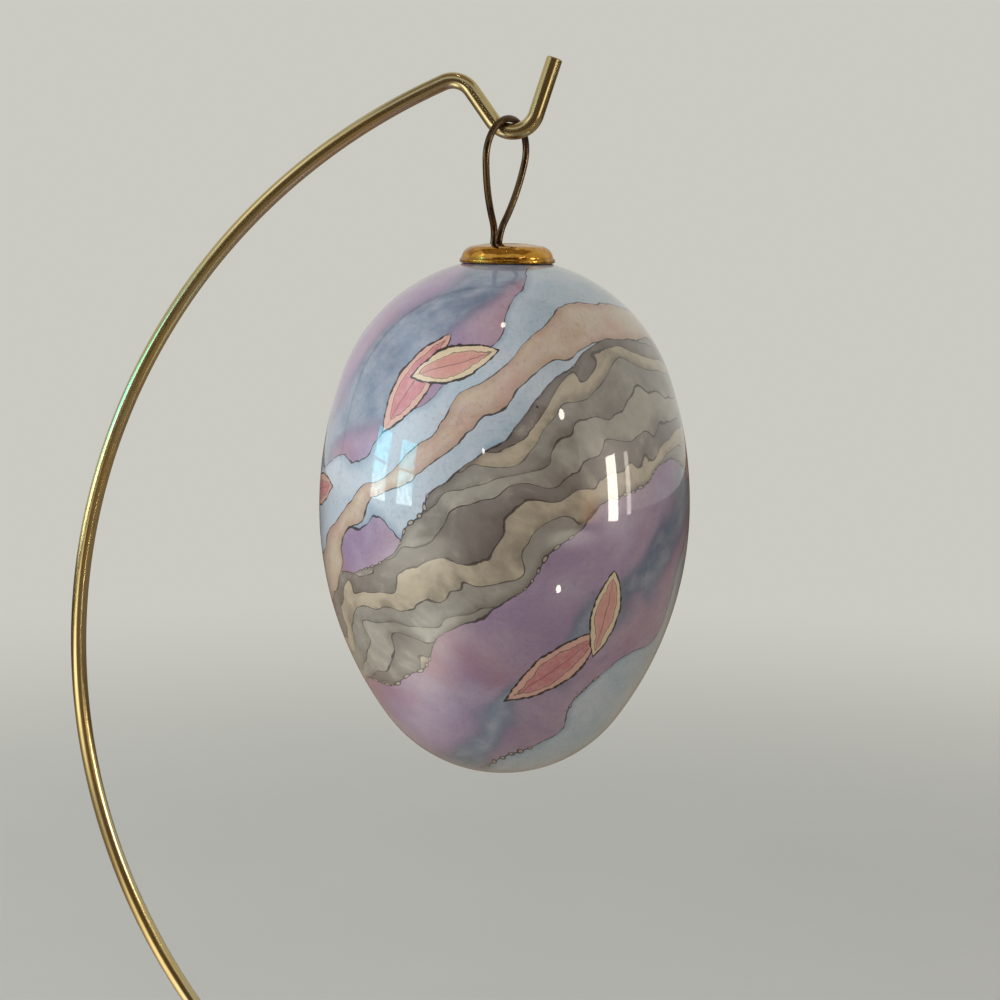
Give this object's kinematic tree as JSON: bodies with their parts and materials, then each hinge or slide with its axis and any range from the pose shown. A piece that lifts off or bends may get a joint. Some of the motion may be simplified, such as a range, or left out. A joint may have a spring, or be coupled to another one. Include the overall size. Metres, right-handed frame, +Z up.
{
  "type": "hanging egg ornament on wire stand",
  "caption": "Glazed hollow egg that hangs by a thin wire loop from the V-shaped hook of a bent brass wire stand with a flat ring foot.",
  "frame": {"origin": "on the table plane, in the middle of the foot ring, straight below the point where the loop hangs on the hook, and on the egg's axis", "axes": "+Z up; the stand's big arc lies in the XZ plane and bulges towards -X; the free tip of the hook points to +X and +Z; the picture looks along +Y from slightly to the right"},
  "size_m": [0.1142, 0.081, 0.2022],
  "materials": {
    "stand_brass": "polished, lacquered",
    "dark_brass": "oxidised, semi-gloss",
    "gilt_brass": "polished gilt",
    "cement": "matte",
    "marbled_glaze": "high gloss glaze over a marbled decoration"
  },
  "bodies": {
    "stand": {"stand_wire": "stand_brass"},
    "hanger": {"hanger_loop": "dark_brass"},
    "egg": {"egg_shell": "marbled_glaze", "egg_cap": "gilt_brass", "cap_cement": "cement"}
  },
  "joints": [
    {"name": "hanger_swing", "type": "hinge", "parent": "stand", "child": "hanger", "pos_m": [0, 0, 0.19066], "axis": [1, 0, 0], "range_deg": [-30, 30]},
    {"name": "egg_turn", "type": "hinge", "parent": "hanger", "child": "egg", "pos_m": [0, 0, 0.169], "axis": [0, 0, 1], "continuous": true}
  ]
}
